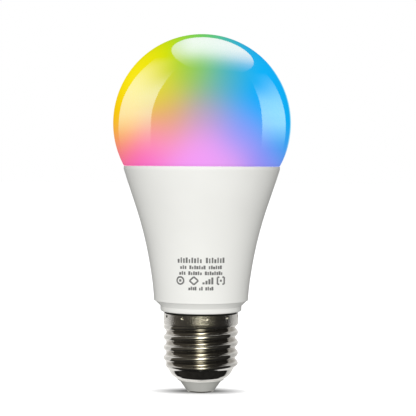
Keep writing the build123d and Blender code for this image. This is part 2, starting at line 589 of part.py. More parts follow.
live = wire([(0, 0, 8.4), (0, 0, 11.6), (-4.2, -2.3, 14.2), (-7.0, -2.3, 17.0), (-7.0, -2.3, 19.5), (-7.0, -0.62, 19.5)], 0.65, [1.6, 1.4, 1.2, 0.8])
live = live + rod(0, 0, 1.6, 8.5, 0.5)
keep(live, "live_lead")
back = wire([(7.0, 0.62, 19.5), (7.0, 2.3, 19.5), (7.0, 2.3, 13.2), (9.0, 3.9, 10.9), (10.68, 3.9, 10.9), (10.68, 3.9, 15.8)], 0.4, [0.8, 1.6, 0.9, 0.8])
keep(back, "return_lead")

for row in LISTED:
    print(*row)
print("nodes", len(LISTED))
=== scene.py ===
import math

import bmesh
import bpy
import numpy as np
from mathutils import Matrix, Vector


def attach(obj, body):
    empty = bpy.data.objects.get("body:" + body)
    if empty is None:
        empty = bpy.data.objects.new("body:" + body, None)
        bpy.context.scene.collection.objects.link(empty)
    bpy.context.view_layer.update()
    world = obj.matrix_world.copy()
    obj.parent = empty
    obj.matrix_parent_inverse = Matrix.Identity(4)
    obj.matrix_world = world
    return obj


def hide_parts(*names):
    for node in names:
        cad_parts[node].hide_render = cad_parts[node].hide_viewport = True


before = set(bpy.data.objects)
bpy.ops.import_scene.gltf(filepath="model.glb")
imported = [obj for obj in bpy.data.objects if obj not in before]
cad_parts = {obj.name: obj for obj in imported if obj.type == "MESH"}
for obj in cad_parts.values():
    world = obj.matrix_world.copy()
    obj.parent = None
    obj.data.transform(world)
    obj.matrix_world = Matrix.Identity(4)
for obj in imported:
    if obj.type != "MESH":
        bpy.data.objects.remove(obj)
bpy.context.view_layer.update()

scene = bpy.context.scene
MM = 0.001

# ------------------------------------------------------------------ dimensions, mm
DOME_R, DOME_Z, DOME_WALL = 31.0, 93.8, 1.1
SEAM_Z = 78.9
PITCH, ROOT_R, RIDGE = 3.629, 12.1, 0.97
CREST_Z0 = 10.0


# ------------------------------------------------------------------ node material helpers
def new_material(name):
    m = bpy.data.materials.new(name)
    m.use_nodes = True
    nt = m.node_tree
    nt.nodes.clear()
    out = nt.nodes.new("ShaderNodeOutputMaterial")
    b = nt.nodes.new("ShaderNodeBsdfPrincipled")
    nt.links.new(b.outputs["BSDF"], out.inputs["Surface"])
    return m, nt, b


def noise(nt, scale, detail=3.0, rough=0.55, coords=None):
    """Noise in the object's own space, scale in features per metre."""
    if coords is None:
        coords = nt.nodes.new("ShaderNodeTexCoord").outputs["Object"]
    n = nt.nodes.new("ShaderNodeTexNoise")
    n.inputs["Scale"].default_value = scale
    n.inputs["Detail"].default_value = detail
    n.inputs["Roughness"].default_value = rough
    nt.links.new(coords, n.inputs["Vector"])
    return n.outputs["Fac"]


def ramp(nt, fac, stops):
    r = nt.nodes.new("ShaderNodeValToRGB")
    e = r.color_ramp.elements
    while len(e) < len(stops):
        e.new(0.5)
    for i, (p, c) in enumerate(stops):
        e[i].position = p
        e[i].color = (*c, 1.0)
    nt.links.new(fac, r.inputs["Fac"])
    return r.outputs["Color"]


def math_node(nt, op, a, b=None, c=None, clamp=False):
    n = nt.nodes.new("ShaderNodeMath")
    n.operation = op
    n.use_clamp = clamp
    for i, v in enumerate((a, b, c)):
        if v is None:
            continue
        if isinstance(v, (int, float)):
            n.inputs[i].default_value = v
        else:
            nt.links.new(v, n.inputs[i])
    return n.outputs[0]


def bump(nt, b, height, strength, distance):
    n = nt.nodes.new("ShaderNodeBump")
    n.inputs["Strength"].default_value = strength
    n.inputs["Distance"].default_value = distance
    nt.links.new(height, n.inputs["Height"])
    nt.links.new(n.outputs["Normal"], b.inputs["Normal"])


def stuff(name, low, high, rough=0.5, metal=0.0, scale=900.0, grain=0.0, rough_var=0.0, coat=0.0, alpha=1.0, ior=1.45):
    """A material whose colour drifts between low and high by noise, with an optional fine grain."""
    m, nt, b = new_material(name)
    fac = noise(nt, scale)
    nt.links.new(ramp(nt, fac, [(0.35, low), (0.65, high)]), b.inputs["Base Color"])
    b.inputs["Metallic"].default_value = metal
    b.inputs["IOR"].default_value = ior
    b.inputs["Coat Weight"].default_value = coat
    b.inputs["Alpha"].default_value = alpha
    if rough_var:
        v = math_node(nt, "MULTIPLY_ADD", noise(nt, scale * 2.3), rough_var, rough - rough_var / 2)
        nt.links.new(v, b.inputs["Roughness"])
    else:
        b.inputs["Roughness"].default_value = rough
    if grain:
        bump(nt, b, noise(nt, scale * 6, 2.0), grain, 0.00005)
    return m


# ------------------------------------------------------------------ mesh helpers
def finish_mesh(bm, name, material, sharp=math.radians(32)):
    bmesh.ops.recalc_face_normals(bm, faces=bm.faces)
    me = bpy.data.meshes.new(name)
    bm.to_mesh(me)
    bm.free()
    me.materials.append(material)
    me.polygons.foreach_set("use_smooth", [True] * len(me.polygons))
    me.set_sharp_from_angle(angle=sharp)
    o = bpy.data.objects.new(name, me)
    scene.collection.objects.link(o)
    return o


def grid_solid(bm, rows, closed=True):
    """Joins rings of vertices (or single poles) into a closed skin."""
    n = len(rows)
    for i in range(n if closed else n - 1):
        a, b = rows[i], rows[(i + 1) % n]
        if len(a) == 1 and len(b) == 1:
            continue
        count = max(len(a), len(b))
        for k in range(count):
            k2 = (k + 1) % count
            quad = [a[k % len(a)], a[k2 % len(a)], b[k2 % len(b)], b[k % len(b)]]
            face = []
            for v in quad:
                if v not in face:
                    face.append(v)
            bm.faces.new(face)


def lathe(name, profile, material, segments=256, sharp=math.radians(32)):
    """A closed solid of revolution from a closed loop of (radius, height) points in mm."""
    bm = bmesh.new()
    rows = []
    for r, z in profile:
        if r < 1e-6:
            rows.append([bm.verts.new((0, 0, z * MM))])
        else:
            rows.append(
                [
                    bm.verts.new((r * MM * math.cos(2 * math.pi * k / segments), r * MM * math.sin(2 * math.pi * k / segments), z * MM))
                    for k in range(segments)
                ]
            )
    grid_solid(bm, rows)
    return finish_mesh(bm, name, material, sharp)


def arc(cx, cz, r, a0, a1, n):
    """Points on an arc, angles in degrees from +r towards +z."""
    return [
        (cx + r * math.cos(math.radians(a0 + (a1 - a0) * i / n)), cz + r * math.sin(math.radians(a0 + (a1 - a0) * i / n)))
        for i in range(n + 1)
    ]


def smooth_line(points, n):
    """Natural cubic spline through (z, r) points, sampled n+1 times, returned as (r, z)."""
    z = np.array([p[0] for p in points], float)
    r = np.array([p[1] for p in points], float)
    h = np.diff(z)
    size = len(z)
    a = np.zeros((size, size))
    rhs = np.zeros(size)
    a[0, 0] = a[-1, -1] = 1
    for i in range(1, size - 1):
        a[i, i - 1], a[i, i], a[i, i + 1] = h[i - 1], 2 * (h[i - 1] + h[i]), h[i]
        rhs[i] = 6 * ((r[i + 1] - r[i]) / h[i] - (r[i] - r[i - 1]) / h[i - 1])
    m = np.linalg.solve(a, rhs)
    out = []
    for s in np.linspace(z[0], z[-1], n + 1):
        i = min(int(np.searchsorted(z, s, side="right")) - 1, size - 2)
        i = max(i, 0)
        t0, t1 = z[i + 1] - s, s - z[i]
        v = (
            m[i] * t0**3 / (6 * h[i])
            + m[i + 1] * t1**3 / (6 * h[i])
            + (r[i] / h[i] - m[i] * h[i] / 6) * t0
            + (r[i + 1] / h[i] - m[i + 1] * h[i] / 6) * t1
        )
        out.append((float(v), float(s)))
    return out


def smoothstep(a, b, x):
    t = min(1.0, max(0.0, (x - a) / (b - a)))
    return t * t * (3 - 2 * t)


# ------------------------------------------------------------------ dome: lit opal plastic
# Colour lobes of the light inside: place on the sphere as (x / R, z / R), and linear colour.
LOBES = [
    (-0.97, 0.15, (1.00, 0.72, 0.01)),
    (-0.80, 0.55, (1.05, 0.88, 0.03)),
    (-0.50, 0.85, (0.82, 0.80, 0.00)),
    (-0.18, 1.00, (0.28, 0.74, 0.06)),
    (0.10, 1.00, (0.12, 0.62, 0.15)),
    (0.42, 0.90, (0.04, 0.44, 0.78)),
    (0.72, 0.68, (0.03, 0.49, 1.01)),
    (0.98, 0.20, (0.02, 0.48, 0.96)),
    (0.95, -0.25, (0.03, 0.43, 0.97)),
    (0.70, -0.50, (0.32, 0.28, 0.93)),
    (0.25, -0.52, (0.84, 0.38, 0.89)),
    (-0.20, -0.52, (0.86, 0.34, 0.98)),
    (-0.60, -0.55, (0.93, 0.13, 0.62)),
    (-0.92, -0.38, (0.98, 0.15, 0.36)),
    (-0.97, -0.12, (1.00, 0.47, 0.02)),
    (-0.45, 0.35, (0.74, 0.69, 0.07)),
    (-0.10, 0.50, (0.29, 0.59, 0.06)),
    (0.25, 0.42, (0.09, 0.45, 0.48)),
    (0.55, 0.25, (0.00, 0.42, 1.03)),
    (-0.35, 0.00, (0.78, 0.40, 0.09)),
    (0.02, 0.05, (0.43, 0.365, 0.50)),
    (0.38, -0.10, (0.25, 0.34, 0.95)),
    (-0.45, -0.25, (1.05, 0.29, 0.54)),
    (0.00, -0.28, (0.97, 0.36, 0.97)),
]
LOBE_WIDTH = 0.20


GLOW_CUT = 0.030


def glow_at(u, w):
    """The dome's colour at (x / R, z / R), as the shader below mixes it."""
    weights = [math.exp(-((u - lu) ** 2 + (w - lw) ** 2) / (2 * LOBE_WIDTH**2)) for lu, lw, _ in LOBES]
    total = sum(weights)
    return [sum(g * c[k] for g, (_, _, c) in zip(weights, LOBES)) / total for k in range(3)]


def dome_material():
    m, nt, b = new_material("opal_dome")
    coords = nt.nodes.new("ShaderNodeTexCoord").outputs["Object"]
    sep = nt.nodes.new("ShaderNodeSeparateXYZ")
    nt.links.new(coords, sep.inputs[0])
    u = math_node(nt, "DIVIDE", sep.outputs["X"], DOME_R * MM)
    w = math_node(nt, "DIVIDE", math_node(nt, "SUBTRACT", sep.outputs["Z"], DOME_Z * MM), DOME_R * MM)
    total, weight = None, None
    for lu, lw, colour in LOBES:
        du = math_node(nt, "SUBTRACT", u, lu)
        dw = math_node(nt, "SUBTRACT", w, lw)
        d2 = math_node(nt, "MULTIPLY_ADD", du, du, math_node(nt, "MULTIPLY", dw, dw))
        g = math_node(nt, "EXPONENT", math_node(nt, "MULTIPLY", d2, -1 / (2 * LOBE_WIDTH**2)))
        part = nt.nodes.new("ShaderNodeVectorMath")
        part.operation = "SCALE"
        part.inputs[0].default_value = colour
        nt.links.new(g, part.inputs["Scale"])
        if total is None:
            total, weight = part.outputs[0], g
        else:
            add = nt.nodes.new("ShaderNodeVectorMath")
            add.operation = "ADD"
            nt.links.new(total, add.inputs[0])
            nt.links.new(part.outputs[0], add.inputs[1])
            total = add.outputs[0]
            weight = math_node(nt, "ADD", weight, g)
    inv = math_node(nt, "DIVIDE", 1.0, math_node(nt, "ADD", weight, 1e-6))
    # the glow dies away just above the body's rim, where the boards shade the dome
    low = math_node(nt, "MULTIPLY_ADD", w, 12.0, 6.30, clamp=True)
    level = math_node(nt, "MULTIPLY_ADD", low, 0.14, 0.86)
    glow = nt.nodes.new("ShaderNodeVectorMath")
    glow.operation = "SCALE"
    nt.links.new(total, glow.inputs[0])
    nt.links.new(math_node(nt, "MULTIPLY", inv, level), glow.inputs["Scale"])
    base = nt.nodes.new("ShaderNodeVectorMath")
    base.operation = "SCALE"
    nt.links.new(glow.outputs[0], base.inputs[0])
    base.inputs["Scale"].default_value = 0.18
    nt.links.new(base.outputs[0], b.inputs["Base Color"])
    less = nt.nodes.new("ShaderNodeVectorMath")
    less.operation = "SUBTRACT"
    nt.links.new(glow.outputs[0], less.inputs[0])
    less.inputs[1].default_value = (GLOW_CUT, GLOW_CUT, GLOW_CUT)
    keep = nt.nodes.new("ShaderNodeVectorMath")
    keep.operation = "MAXIMUM"
    nt.links.new(less.outputs[0], keep.inputs[0])
    keep.inputs[1].default_value = (0.0, 0.0, 0.0)
    nt.links.new(keep.outputs[0], b.inputs["Emission Color"])
    b.inputs["Emission Strength"].default_value = 0.86
    b.inputs["Roughness"].default_value = 0.06
    b.inputs["IOR"].default_value = 1.45
    return m


def dome_piece():
    inner = DOME_R - DOME_WALL
    a_seam = math.degrees(math.asin((SEAM_Z - DOME_Z) / DOME_R))
    a_step = math.degrees(math.asin((82.0 - DOME_Z) / inner))
    outer = arc(0, DOME_Z, DOME_R, 90, a_seam + 0.5, 110)
    outer[0] = (0.0, DOME_Z + DOME_R)
    seam_r = DOME_R * math.cos(math.radians(a_seam))
    inside = arc(0, DOME_Z, inner, a_step, 90, 60)
    inside[-1] = (0.0, DOME_Z + inner)
    profile = (
        outer
        + [(seam_r - 0.02, SEAM_Z + 0.12), (seam_r - 0.12, SEAM_Z + 0.02), (26.15, SEAM_Z + 0.02), (26.15, 77.45)]
        + arc(26.15 - 0.9, 77.0, 1.17, 22, -22, 6)
        + [(26.15, 76.5), (26.15, 75.9), (25.85, 75.6), (25.0, 75.6), (25.0, 79.4)]
        + inside
    )
    return lathe("dome", profile, dome_material(), 256)


# ------------------------------------------------------------------ body: white moulded plastic
def body_material():
    m, nt, b = new_material("white_body")
    coords = nt.nodes.new("ShaderNodeTexCoord").outputs["Object"]
    fac = noise(nt, 45.0, 2.0, coords=coords)
    white = ramp(nt, fac, [(0.3, (0.80, 0.80, 0.765)), (0.7, (0.83, 0.83, 0.795))])
    # painted shade: the narrow gap between the lip ring and the metal shell is painted near-black in the base colour,
    # standing in for the shade in the groove
    sep = nt.nodes.new("ShaderNodeSeparateXYZ")
    nt.links.new(coords, sep.inputs[0])
    rr = math_node(nt, "SQRT", math_node(nt, "MULTIPLY_ADD", sep.outputs["X"], sep.outputs["X"], math_node(nt, "MULTIPLY", sep.outputs["Y"], sep.outputs["Y"])))
    # mask of the painted gap shade: every part of the body narrower than 13.45 mm and lower than 28.4 mm
    inside = math_node(nt, "MULTIPLY", math_node(nt, "LESS_THAN", rr, 0.01345), math_node(nt, "LESS_THAN", sep.outputs["Z"], 0.0284))
    mix = nt.nodes.new("ShaderNodeMix")
    mix.data_type = "RGBA"
    nt.links.new(inside, mix.inputs[0])
    nt.links.new(white, mix.inputs[6])
    # near-black of the painted gap shade
    mix.inputs[7].default_value = (0.02, 0.02, 0.015, 1.0)
    nt.links.new(mix.outputs[2], b.inputs["Base Color"])
    v = math_node(nt, "MULTIPLY_ADD", noise(nt, 2500.0, 2.0, coords=coords), 0.08, 0.34)
    nt.links.new(v, b.inputs["Roughness"])
    b.inputs["IOR"].default_value = 1.45
    bump(nt, b, noise(nt, 5200.0, 2.0, coords=coords), 0.05, 0.00003)
    return m


FLARE = [
    (32.72, 16.47), (36.0, 16.75), (40.0, 17.24), (46.0, 18.20), (52.0, 19.41),
    (58.0, 20.91), (64.0, 22.71), (70.0, 24.72), (77.7, 27.20),
]


def body_piece():
    flare = smooth_line(FLARE, 90)
    wall = [(r - 1.3, z) for r, z in smooth_line([(z, r) for z, r in FLARE], 40) if 34.4 < z < 75.0]
    profile = (
        [(10.4, 9.7), (11.2, 9.7), (11.6, 10.3), (11.6, 23.1), (12.7, 24.3), (12.7, 26.9), (11.9, 27.3), (11.9, 28.3), (13.52, 28.3)]
        + arc(13.60, 28.90, 0.60, -86, -4, 9)
        + [(14.2, 29.1), (14.2, 30.0)]
        + arc(14.32, 30.02, 0.12, 180, 138, 3)
        + [(14.31, 30.27), (16.1, 32.0)]
        + arc(15.98, 32.35, 0.49, -35, 4, 6)
        + flare
        + [(27.23, 77.85), (27.25, 78.1), (27.25, 78.62)]
        + arc(27.02, 78.66, 0.23, 8, 88, 6)
        + [(26.25, SEAM_Z), (26.25, 77.62), (26.5, 77.2), (26.5, 76.8), (26.25, 76.38), (26.25, 75.2), (wall[-1][0], 75.2)]
        + wall[::-1]
        + [(15.3, 34.4), (13.2, 33.4), (10.4, 29.4)]
    )
    return lathe("body", profile, body_material(), 288, math.radians(28))


# ------------------------------------------------------------------ screw shell: rolled sheet, nickel plated
def shell_material():
    m, nt, b = new_material("nickel_shell")
    coords = nt.nodes.new("ShaderNodeTexCoord").outputs["Object"]
    fac = noise(nt, 700.0, 4.0, coords=coords)
    clean = ramp(nt, fac, [(0.3, (0.74, 0.73, 0.70)), (0.7, (0.84, 0.83, 0.80))])
    b.inputs["Metallic"].default_value = 1.0
    sep = nt.nodes.new("ShaderNodeSeparateXYZ")
    nt.links.new(coords, sep.inputs[0])
    # painted shade: the thread's valleys are painted darker and browner than the crests, standing in for the shade
    # between the crests
    rr = math_node(nt, "SQRT", math_node(nt, "MULTIPLY_ADD", sep.outputs["X"], sep.outputs["X"], math_node(nt, "MULTIPLY", sep.outputs["Y"], sep.outputs["Y"])))
    valley = math_node(nt, "MULTIPLY_ADD", rr, -1 / 0.00055, 12.72 / 0.55, clamp=True)
    thread = math_node(nt, "MULTIPLY_ADD", sep.outputs["Z"], 1 / 0.0008, -9.4 / 0.8, clamp=True)
    valley_shade_paint = math_node(nt, "MULTIPLY", math_node(nt, "MULTIPLY", valley, thread), math_node(nt, "MULTIPLY_ADD", fac, 0.5, 0.42, clamp=True))
    mix = nt.nodes.new("ShaderNodeMix")
    mix.data_type = "RGBA"
    nt.links.new(valley_shade_paint, mix.inputs[0])
    nt.links.new(clean, mix.inputs[6])
    # brown-grey of the painted valley shade
    mix.inputs[7].default_value = (0.38, 0.35, 0.30, 1.0)
    nt.links.new(mix.outputs[2], b.inputs["Base Color"])
    # the plain collar is left with a sandy grain, the rolled thread is burnished
    collar = math_node(nt, "MULTIPLY_ADD", sep.outputs["Z"], 1 / 0.0012, -23.3 / 1.2, clamp=True)
    speck = noise(nt, 2600.0, 3.0, 0.7, coords=coords)
    v = math_node(nt, "MULTIPLY_ADD", speck, 0.07, 0.04)
    v = math_node(nt, "MULTIPLY_ADD", collar, 0.025, v)
    nt.links.new(v, b.inputs["Roughness"])
    h = math_node(nt, "MULTIPLY", speck, math_node(nt, "MULTIPLY_ADD", collar, 0.95, 0.05))
    bump(nt, b, h, 0.85, 0.00010)
    return m


def ridge_height(u):
    """Rolled thread: crest arc running into root arc, u from the crest in mm."""
    half = PITCH / 2
    u = abs((u + half) % PITCH - half)
    reach = half / 2
    alpha = 2 * math.atan(0.5 * RIDGE / reach)
    big = reach / math.sin(alpha)
    if u <= reach:
        return RIDGE - (big - math.sqrt(max(0.0, big * big - u * u)))
    return big - math.sqrt(max(0.0, big * big - (half - u) ** 2))


SHELL_BASE = [
    (4.35, 7.78), (4.42, 8.05), (4.70, 8.50), (5.40, 9.60), (6.10, 10.30), (6.80, 10.76), (7.50, 11.12), (8.60, 11.75),
    (9.30, 12.06), (9.90, 12.10), (22.70, 12.10),
]


def shell_piece():
    segments = 480
    heights = [4.35, 4.38, 4.42, 4.5, 4.62, 4.8]
    heights += list(np.arange(5.0, 8.0, 0.15)) + list(np.arange(8.0, 24.3, 0.105)) + list(np.arange(24.4, 25.7, 0.2))
    heights += list(np.arange(25.75, 27.4, 0.075)) + [27.45, 27.52, 27.58, 27.6]
    base_z = [p[0] for p in SHELL_BASE]
    base_r = [p[1] for p in SHELL_BASE]
    bm = bmesh.new()
    rows = []
    for z in heights:
        base = float(np.interp(z, base_z, base_r))
        swell = smoothstep(22.55, 24.05, z)
        env = smoothstep(7.9, 10.0, z)
        base_top = 13.1
        row = []
        for k in range(segments):
            a = 2 * math.pi * k / segments
            r = base
            if 7.9 < z < 24.1:
                crest = CREST_Z0 + PITCH * a / (2 * math.pi)
                r = base + ridge_height(z - crest) * env
            if swell > 0:
                slope = ROOT_R + (base_top - ROOT_R) * swell
                r = max(r, slope) if z < 24.1 else slope
            if 25.7 < z < 27.4:
                # ten crimp punches round the collar
                near = (math.degrees(a) + 82.5) / 36.0
                off = (near - round(near)) * math.radians(36.0) * 13.1
                d = math.hypot(off, z - 26.75)
                r -= 0.52 * (1 - smoothstep(0.12, 0.66, d))
            row.append(bm.verts.new((r * MM * math.cos(a), r * MM * math.sin(a), z * MM)))
        rows.append(row)
    inner_heights = [27.58, 24.2, 23.2, 22.6, 16.0, 9.9, 9.3, 8.6, 7.5, 6.8, 6.1, 5.4, 4.85, 4.65]
    for z in inner_heights:
        if z > 24.1:
            r = 12.6
        elif z > 22.9:
            r = 12.2
        else:
            r = float(np.interp(z, base_z, base_r)) - 0.3
            if z < 6.5:
                r -= 0.12
            if z == 4.65:
                r = 7.78
        rows.append([bm.verts.new((r * MM * math.cos(2 * math.pi * k / segments), r * MM * math.sin(2 * math.pi * k / segments), z * MM)) for k in range(segments)])
    grid_solid(bm, rows)
    return finish_mesh(bm, "screw_shell_sheet", shell_material(), math.radians(50))


# ------------------------------------------------------------------ cap insulator and centre contact
def insulator_piece():
    m, nt, b = new_material("grey_insulator")
    coords = nt.nodes.new("ShaderNodeTexCoord").outputs["Object"]
    sep = nt.nodes.new("ShaderNodeSeparateXYZ")
    nt.links.new(coords, sep.inputs[0])
    # painted highlight: the rounded bead next to the metal is painted lighter than the cone, standing in for the light
    # along its upper rim
    high = math_node(nt, "MULTIPLY_ADD", sep.outputs["Z"], 1 / 0.0004, -3.95 / 0.4, clamp=True)
    fac = math_node(nt, "MULTIPLY_ADD", noise(nt, 500.0, coords=coords), 0.16, math_node(nt, "MULTIPLY", high, 0.8))
    nt.links.new(ramp(nt, fac, [(0.0, (0.46, 0.46, 0.43)), (0.16, (0.51, 0.51, 0.475)), (0.9, (0.74, 0.73, 0.69))]), b.inputs["Base Color"])
    b.inputs["Roughness"].default_value = 0.38
    bump(nt, b, noise(nt, 3000.0, 2.0, coords=coords), 0.04, 0.00005)
    profile = (
        [(1.65, 0.46), (4.72, 0.46)]
        + arc(4.72, 0.72, 0.26, -90, -35, 5)
        + [(7.44, 4.02)]
        + arc(7.78, 4.42, 0.40, -95, 75, 8)
        + [(7.55, 4.95), (9.6, 6.5), (9.8, 6.9), (9.8, 7.5), (8.7, 7.5), (7.4, 6.3), (3.2, 6.3), (3.2, 7.6), (1.65, 7.6)]
    )
    return lathe("insulator", profile, m, 192)


def contact_piece():
    m = stuff("contact_metal", (0.50, 0.49, 0.46), (0.66, 0.65, 0.61), rough=0.3, metal=1.0, scale=1500.0, grain=0.1)
    profile = (
        [(0.0, 0.0), (4.35, 0.0)]
        + arc(4.35, 0.36, 0.35, -85, -5, 6)
        + [(4.70, 0.44), (1.6, 0.44), (1.6, 7.7), (1.85, 8.3), (1.45, 8.3), (1.0, 7.6), (1.0, 1.0), (0.0, 0.7)]
    )
    return lathe("contact", profile, m, 160)


# ------------------------------------------------------------------ printed marks: plain bars and shapes, no lettering
def body_radius(z):
    return float(np.interp(z, [p[1] for p in FLARE_LINE], [p[0] for p in FLARE_LINE]))


FLARE_LINE = smooth_line(FLARE, 90)
X_PRINT = 0.0


def mark_quads(bm, corners, n=4):
    """One thin closed slab over the sleeve's front: corners are (x, z) in mm, in order round the shape."""
    top, low = [], []
    for x, z in corners:
        for lift, into in ((0.035, top), (-0.03, low)):
            r = body_radius(z) + lift
            a = x / body_radius(z)
            into.append(bm.verts.new((r * math.sin(a) * MM, -r * math.cos(a) * MM, z * MM)))
    count = len(corners)
    bm.faces.new(top)
    bm.faces.new(low[::-1])
    for i in range(count):
        j = (i + 1) % count
        bm.faces.new([low[i], low[j], top[j], top[i]])


def bar(bm, x0, x1, z0, z1):
    steps = max(1, int((x1 - x0) / 1.2))
    for i in range(steps):
        a = x0 + (x1 - x0) * i / steps
        b = x0 + (x1 - x0) * (i + 1) / steps
        mark_quads(bm, [(a, z0), (b, z0), (b, z1), (a, z1)])


def outline(bm, points, t):
    """A closed line of thickness t through the points."""
    n = len(points)
    for i in range(n):
        (x0, z0), (x1, z1) = points[i], points[(i + 1) % n]
        d = math.hypot(x1 - x0, z1 - z0)
        nx, nz = -(z1 - z0) / d * t / 2, (x1 - x0) / d * t / 2
        mark_quads(bm, [(x0 - nx, z0 - nz), (x1 - nx, z1 - nz), (x1 + nx, z1 + nz), (x0 + nx, z0 + nz)])


def marks_piece():
    m = stuff("grey_ink", (0.15, 0.15, 0.145), (0.19, 0.19, 0.185), rough=0.5, scale=3000.0)
    bm = bmesh.new()

    def ticks(z_mid, height, x0, x1, groups, width):
        """Groups of short upright ticks with gaps between the groups, like the marks on a scale."""
        slots = sum(groups) + 1.1 * (len(groups) - 1)
        step = (x1 - x0) / slots
        x, k = x0, 0
        for g in groups:
            for i in range(g):
                k += 1
                h = height * (1.0, 0.72, 1.0, 0.86)[k % 4]
                w = width * (1.0, 1.25, 0.85)[k % 3]
                c = x + step * 0.5
                mark_quads(bm, [(c - w / 2, z_mid - height / 2), (c + w / 2, z_mid - height / 2), (c + w / 2, z_mid - height / 2 + h), (c - w / 2, z_mid - height / 2 + h)])
                x += step
            x += 1.1 * step

    ticks(47.1, 1.85, -8.3, 8.3, [9, 7], 0.55)
    ticks(44.7, 1.25, -7.3, 7.3, [3, 7, 6], 0.56)
    ticks(42.7, 1.25, -7.6, 7.6, [3, 6, 8], 0.56)
    ticks(37.45, 1.25, -4.3, 4.3, [4, 2, 4], 0.52)
    # plain shapes: a ring with a dot, a diamond, rising bars, a square with a dot
    z = 40.1
    outline(bm, [(-7.2 + 1.25 * math.cos(k * math.pi / 10), z + 1.25 * math.sin(k * math.pi / 10)) for k in range(20)], 0.54)
    bar(bm, -7.6, -6.8, z - 0.4, z + 0.4)
    outline(bm, [(-3.9, z), (-2.4, z - 1.35), (-0.9, z), (-2.4, z + 1.35)], 0.54)
    for i, cx in enumerate((0.9, 1.9, 2.9, 3.9)):
        bar(bm, cx - 0.36, cx + 0.36, z - 1.2, z - 0.5 + 0.55 * i)
    outline(bm, [(5.7, z - 1.2), (8.2, z - 1.2), (8.2, z + 1.2), (5.7, z + 1.2)], 0.54)
    bar(bm, 6.6, 7.3, z - 0.35, z + 0.35)
    return finish_mesh(bm, "printed_marks", m)


# ------------------------------------------------------------------ build the visible pieces
pieces = {
    "diffuser_dome": dome_piece(),
    "body_sleeve": body_piece(),
    "screw_shell": shell_piece(),
    "cap_insulator": insulator_piece(),
    "centre_contact": contact_piece(),
}
for node, o in pieces.items():
    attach(o, "root")
    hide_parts(node)
marks = marks_piece()
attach(marks, "root")

